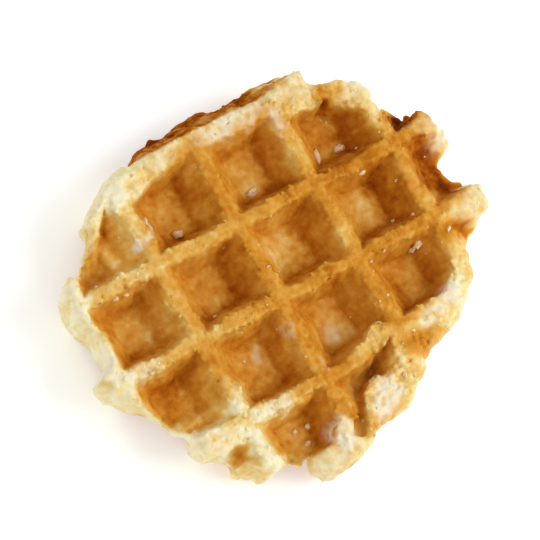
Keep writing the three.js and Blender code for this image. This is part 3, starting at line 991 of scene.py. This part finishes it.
def crust_material():
    m = Nodes("waffle_crust")
    fine = m.scaled(m.noise(1.6, 4.0, 0.65), -0.2, 0.2)
    mid = m.scaled(m.noise(6.0, 3.0), -0.1, 0.1)
    share = m.math("ADD", m.math("ADD", m.attribute("baked_and_shade"), fine), mid)
    values = {
        "Base Color": m.mixed(m.attribute("white"), m.ramp(share, CRUST_COLOURS), WHITISH),
        "Roughness": m.scaled(m.noise(1.8, 3.0), 0.38, 0.62),
        "Normal": m.bump(m.noise(1.2, 6.0, 0.68), 0.6, 0.5),
        "Specular IOR Level": m.math("MAXIMUM", m.scaled(m.attribute("baked_and_shade"), 0.3, -0.09), 0.0),
        "Subsurface Weight": 0.2,
        "Subsurface Radius": (1.0, 0.5, 0.2),
        "Subsurface Scale": 0.9 * MM,
    }
    return m.finished(values)


def sugar_material():
    m = Nodes("pearl_sugar")
    values = {
        "Base Color": m.ramp(m.noise(0.9, 3.0), SUGAR_COLOURS),
        "Roughness": m.scaled(m.noise(0.7, 2.0), 0.18, 0.4),
        "Normal": m.bump(m.noise(0.5, 3.0), 0.4, 0.2),
        "Subsurface Weight": 0.5,
        "Subsurface Radius": (1.0, 0.7, 0.5),
        "Subsurface Scale": 1.0 * MM,
    }
    return m.finished(values)


def floor_material():
    values = {
        "Base Color": FLOOR_COLOUR,
        "Roughness": 0.7,
        "Emission Color": (1, 1, 1, 1),
        "Emission Strength": 0.31,
    }
    return Nodes("floor_white").finished(values)


# ---- the pieces


def make_crust():
    field, low = crust_field()
    points, quads = surface_nets(field, low, CELL)
    points = relaxed(points, quads)
    crust = make_mesh("crust", points, quads)
    x, y, z = points.T
    hidden = smooth_step((11.0 - z) / 3) * smooth_step((inside_rim(x, y) - 2.5) / 2)
    thin_out(crust, SEEN_TRIANGLES / (2 * len(quads)), SPARE_LEAST + SPARE_HIDDEN * hidden)
    drop_loose_bits(crust)
    keep_height(crust)
    points, normals = mesh_points(crust)
    write_attribute(crust, "baked_and_shade", baked_and_shade_share(points, normals, hollowness(crust, points, normals)))
    write_attribute(crust, "white", white_share(points))
    crust.data.materials.append(crust_material())
    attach(crust, "root")
    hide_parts("waffle")
    return crust


def ball(levels):
    """A ball of radius 1 as points and triangles."""
    shape = bmesh.new()
    bmesh.ops.create_icosphere(shape, subdivisions=levels, radius=1.0)
    points = np.array([v.co[:] for v in shape.verts])
    faces = np.array([[v.index for v in f.verts] for f in shape.faces])
    shape.free()
    return points, faces


def random_turns(draw, count):
    """Rotations, spread evenly, as matrices."""
    q = draw.normal(size=(count, 4))
    w, x, y, z = (q / np.linalg.norm(q, axis=1)[:, None]).T
    rows = (
        (1 - 2 * (y * y + z * z), 2 * (x * y - w * z), 2 * (x * z + w * y)),
        (2 * (x * y + w * z), 1 - 2 * (x * x + z * z), 2 * (y * z - w * x)),
        (2 * (x * z - w * y), 2 * (y * z + w * x), 1 - 2 * (x * x + y * y)),
    )
    return np.array(rows).transpose(2, 0, 1)


def uneven_sizes(draw, sizes, stretch, count):
    """Half-sizes along three axes, each a random size stretched a little."""
    return draw.uniform(*sizes, size=(count, 1)) * draw.uniform(*stretch, size=(count, 3))


def chunks(draw, places, halves, levels, facets, turns):
    """Broken lumps at places: balls cut by random planes and roughened, then turned."""
    points, faces = ball(levels)
    count = len(places)
    ways = draw.normal(size=(count, facets, 3))
    ways /= np.linalg.norm(ways, axis=2)[:, :, None]
    depths = draw.uniform(0.62, 1.0, size=(count, facets))
    facing = np.maximum(np.einsum("nfc,pc->nfp", ways, points), 0.05)
    reach = np.minimum((depths[:, :, None] / facing).min(axis=1), 1.05)
    rough = (points[None] * 1.3 + places[:, None, :]).reshape(-1, 3).astype(np.float32)
    reach *= 1 + 0.16 * LUMPS.at(rough, 0.7).reshape(reach.shape)
    lumps = points[None] * reach[:, :, None] * halves[:, None, :]
    lumps = np.einsum("nij,npj->npi", turns, lumps) + places[:, None, :]
    order = faces[None] + (np.arange(count) * len(points))[:, None, None]
    return lumps.reshape(-1, 3), order.reshape(-1, 3)


def drop_onto(tree, x, y):
    """The point of the crust's top at x, y, in the grid's frame, and its normal."""
    start = Vector((np.array([x, y, 2 * THICKNESS]) + GRID_SHIFT) * MM)
    hit, normal, _, _ = tree.ray_cast(start, Vector((0, 0, -1)))
    return np.array(hit) / MM - GRID_SHIFT, np.array(normal)


def turns_about_z(degrees):
    turns = np.zeros((len(degrees), 3, 3))
    angle = np.radians(degrees)
    turns[:, 0, 0] = turns[:, 1, 1] = np.cos(angle)
    turns[:, 1, 0] = np.sin(angle)
    turns[:, 0, 1] = -np.sin(angle)
    turns[:, 2, 2] = 1
    return turns


def add_sugar(name, places, halves, turns, levels):
    points, faces = chunks(np.random.default_rng(5), np.array(places), np.array(halves), levels, 12, turns)
    sugar = make_mesh(name, points, faces)
    keep_height(sugar)
    sugar.data.materials.append(sugar_material())
    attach(sugar, "root")


def make_sugar(tree):
    places, halves = [], []
    for x, y, along, across, _ in SUGAR:
        spot, normal = drop_onto(tree, x, y)
        places.append(spot + normal * SUGAR_LIFT * across)
        halves.append((along / 2, across / 2, SUGAR_HEIGHT * across))
    add_sugar("sugar", places, halves, turns_about_z([lump[4] for lump in SUGAR]), 3)


def make_specks(tree):
    """Fine grains of sugar, strewn over the top."""
    draw = np.random.default_rng(6)
    angle = draw.uniform(-math.pi, math.pi, SPECK_COUNT)
    reach = 0.9 * rim_reach(angle) * np.sqrt(draw.uniform(0, 1, SPECK_COUNT))
    places = [drop_onto(tree, r * math.cos(a), r * math.sin(a))[0] for r, a in zip(reach, angle)]
    halves = uneven_sizes(draw, SPECK_SIZES, (0.7, 1.2), SPECK_COUNT)
    add_sugar("sugar_grains", places, halves, random_turns(draw, SPECK_COUNT), 2)


def triangles_of(thing):
    """The middle, the normal and the area of each triangle of a piece, in millimetres."""
    corners = read_all(thing.data.loops, "vertex_index", 1, np.int32).reshape(-1, 3)
    points, normals = mesh_points(thing)
    side_one = points[corners[:, 1]] - points[corners[:, 0]]
    side_two = points[corners[:, 2]] - points[corners[:, 0]]
    area = np.linalg.norm(np.cross(side_one, side_two), axis=1) / 2
    return points[corners].mean(axis=1), normals[corners].mean(axis=1), area


def make_crumbs(crust):
    """Crumbs where the dough tore, and fewer on the ridges."""
    draw = np.random.default_rng(8)
    at, up, area = triangles_of(crust)
    x, y, z = at.T
    crumbly = CRUMBS_ON_CRESTS * crest_share(at) + torn_cover(x, y) * torn_height(z)
    wanted = area * crumbly * (z > THICKNESS / 2)
    picked = draw.choice(len(at), size=CRUMB_COUNT, replace=False, p=wanted / wanted.sum())
    size = uneven_sizes(draw, CRUMB_SIZES, (0.65, 1.15), CRUMB_COUNT)
    places = at[picked] - up[picked] * CRUMB_SUNK * size[:, :1]
    lumps, faces = chunks(draw, places, size, 3, 7, random_turns(draw, CRUMB_COUNT))
    crumbs = make_mesh("crumbs", lumps, faces)
    keep_height(crumbs)
    share = baked_and_shade_share(places.astype(np.float32), up[picked]) + draw.normal(-0.06, 0.07, CRUMB_COUNT)
    each = len(lumps) // CRUMB_COUNT
    write_attribute(crumbs, "baked_and_shade", np.repeat(np.clip(share, 0.02, 1), each))
    write_attribute(crumbs, "white", np.repeat(white_share(places.astype(np.float32)), each))
    crumbs.data.materials.append(crust.data.materials[0])
    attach(crumbs, "root")


# ---- stage


# Each light's azimuth from +X towards +Y and elevation, in degrees, its distance and side, and its power.
LIGHTS = {"key": (-32, 50, 0.9, 0.6, 4.9), "fill": (170, 38, 0.9, 0.8, 0.9)}
WORLD_STRENGTH = 0.62
FLOOR_HALF = 1.5


def make_floor():
    corners = [(sx * FLOOR_HALF, sy * FLOOR_HALF, 0) for sx, sy in ((-1, -1), (1, -1), (1, 1), (-1, 1))]
    mesh = bpy.data.meshes.new("floor")
    mesh.from_pydata(corners, [], [(0, 1, 2, 3)])
    floor = add_object("floor", mesh)
    mesh.materials.append(floor_material())


def direction(azimuth, elevation):
    level = math.cos(elevation)
    return level * math.cos(azimuth), level * math.sin(azimuth), math.sin(elevation)


def make_light(name, azimuth, elevation, distance, size, power):
    """A square soft light that shines at the waffle."""
    light = bpy.data.lights.new(name, "AREA")
    light.size = size
    light.energy = power
    way = Vector(direction(math.radians(azimuth), math.radians(elevation)))
    lamp = add_object(name, light)
    lamp.location = way * distance
    lamp.rotation_euler = way.to_track_quat("Z", "Y").to_euler()


def make_world():
    world = bpy.data.worlds.new("studio")
    world.use_nodes = True
    background = world.node_tree.nodes["Background"]
    background.inputs["Color"].default_value = (1, 1, 1, 1)
    background.inputs["Strength"].default_value = WORLD_STRENGTH
    bpy.context.scene.world = world


# The camera: where it stands round the point it looks at, its turn about its own axis, and its lens.
CAMERA = {
    "azimuth": 200.0,
    "elevation": 73.0,
    "roll": 41.04,
    "distance": 800.0,
    "aim_from": (-27.865, -3.981, THICKNESS),
    "frame_centre": (62.17, 66.47),
    "focal_px": 3171.4,
    "frame_px": 540,
    "sensor": 36.0,
}


def make_camera():
    a, e, roll = (math.radians(CAMERA[k]) for k in ("azimuth", "elevation", "roll"))
    back = Vector(direction(a, e))
    up = Vector((-math.sin(e) * math.cos(a), -math.sin(e) * math.sin(a), math.cos(e)))
    right = up.cross(back)
    turned_right = right * math.cos(roll) + up * math.sin(roll)
    turned_up = up * math.cos(roll) - right * math.sin(roll)
    place = Vector(CAMERA["aim_from"]) + back * CAMERA["distance"]
    shift_x, shift_y = (v / CAMERA["focal_px"] for v in CAMERA["frame_centre"])
    axis = (back - turned_right * shift_x - turned_up * shift_y).normalized()
    final_right = turned_up.cross(axis).normalized()
    final_up = axis.cross(final_right)
    camera = bpy.data.cameras.new("camera")
    camera.sensor_width = CAMERA["sensor"]
    camera.lens = CAMERA["focal_px"] / CAMERA["frame_px"] * CAMERA["sensor"]
    camera.clip_end = 10
    thing = add_object("camera", camera)
    turn = Matrix((final_right, final_up, axis)).transposed().to_4x4()
    thing.matrix_world = Matrix.Translation(place * MM) @ turn
    bpy.context.scene.camera = thing


bpy.context.scene.view_settings.view_transform = "Standard"
make_camera()
make_floor()
make_world()
for light_name, light_values in LIGHTS.items():
    make_light(light_name, *light_values)
crust = make_crust()
crust_tree = BVHTree.FromObject(crust, bpy.context.evaluated_depsgraph_get())
make_sugar(crust_tree)
make_specks(crust_tree)
make_crumbs(crust)
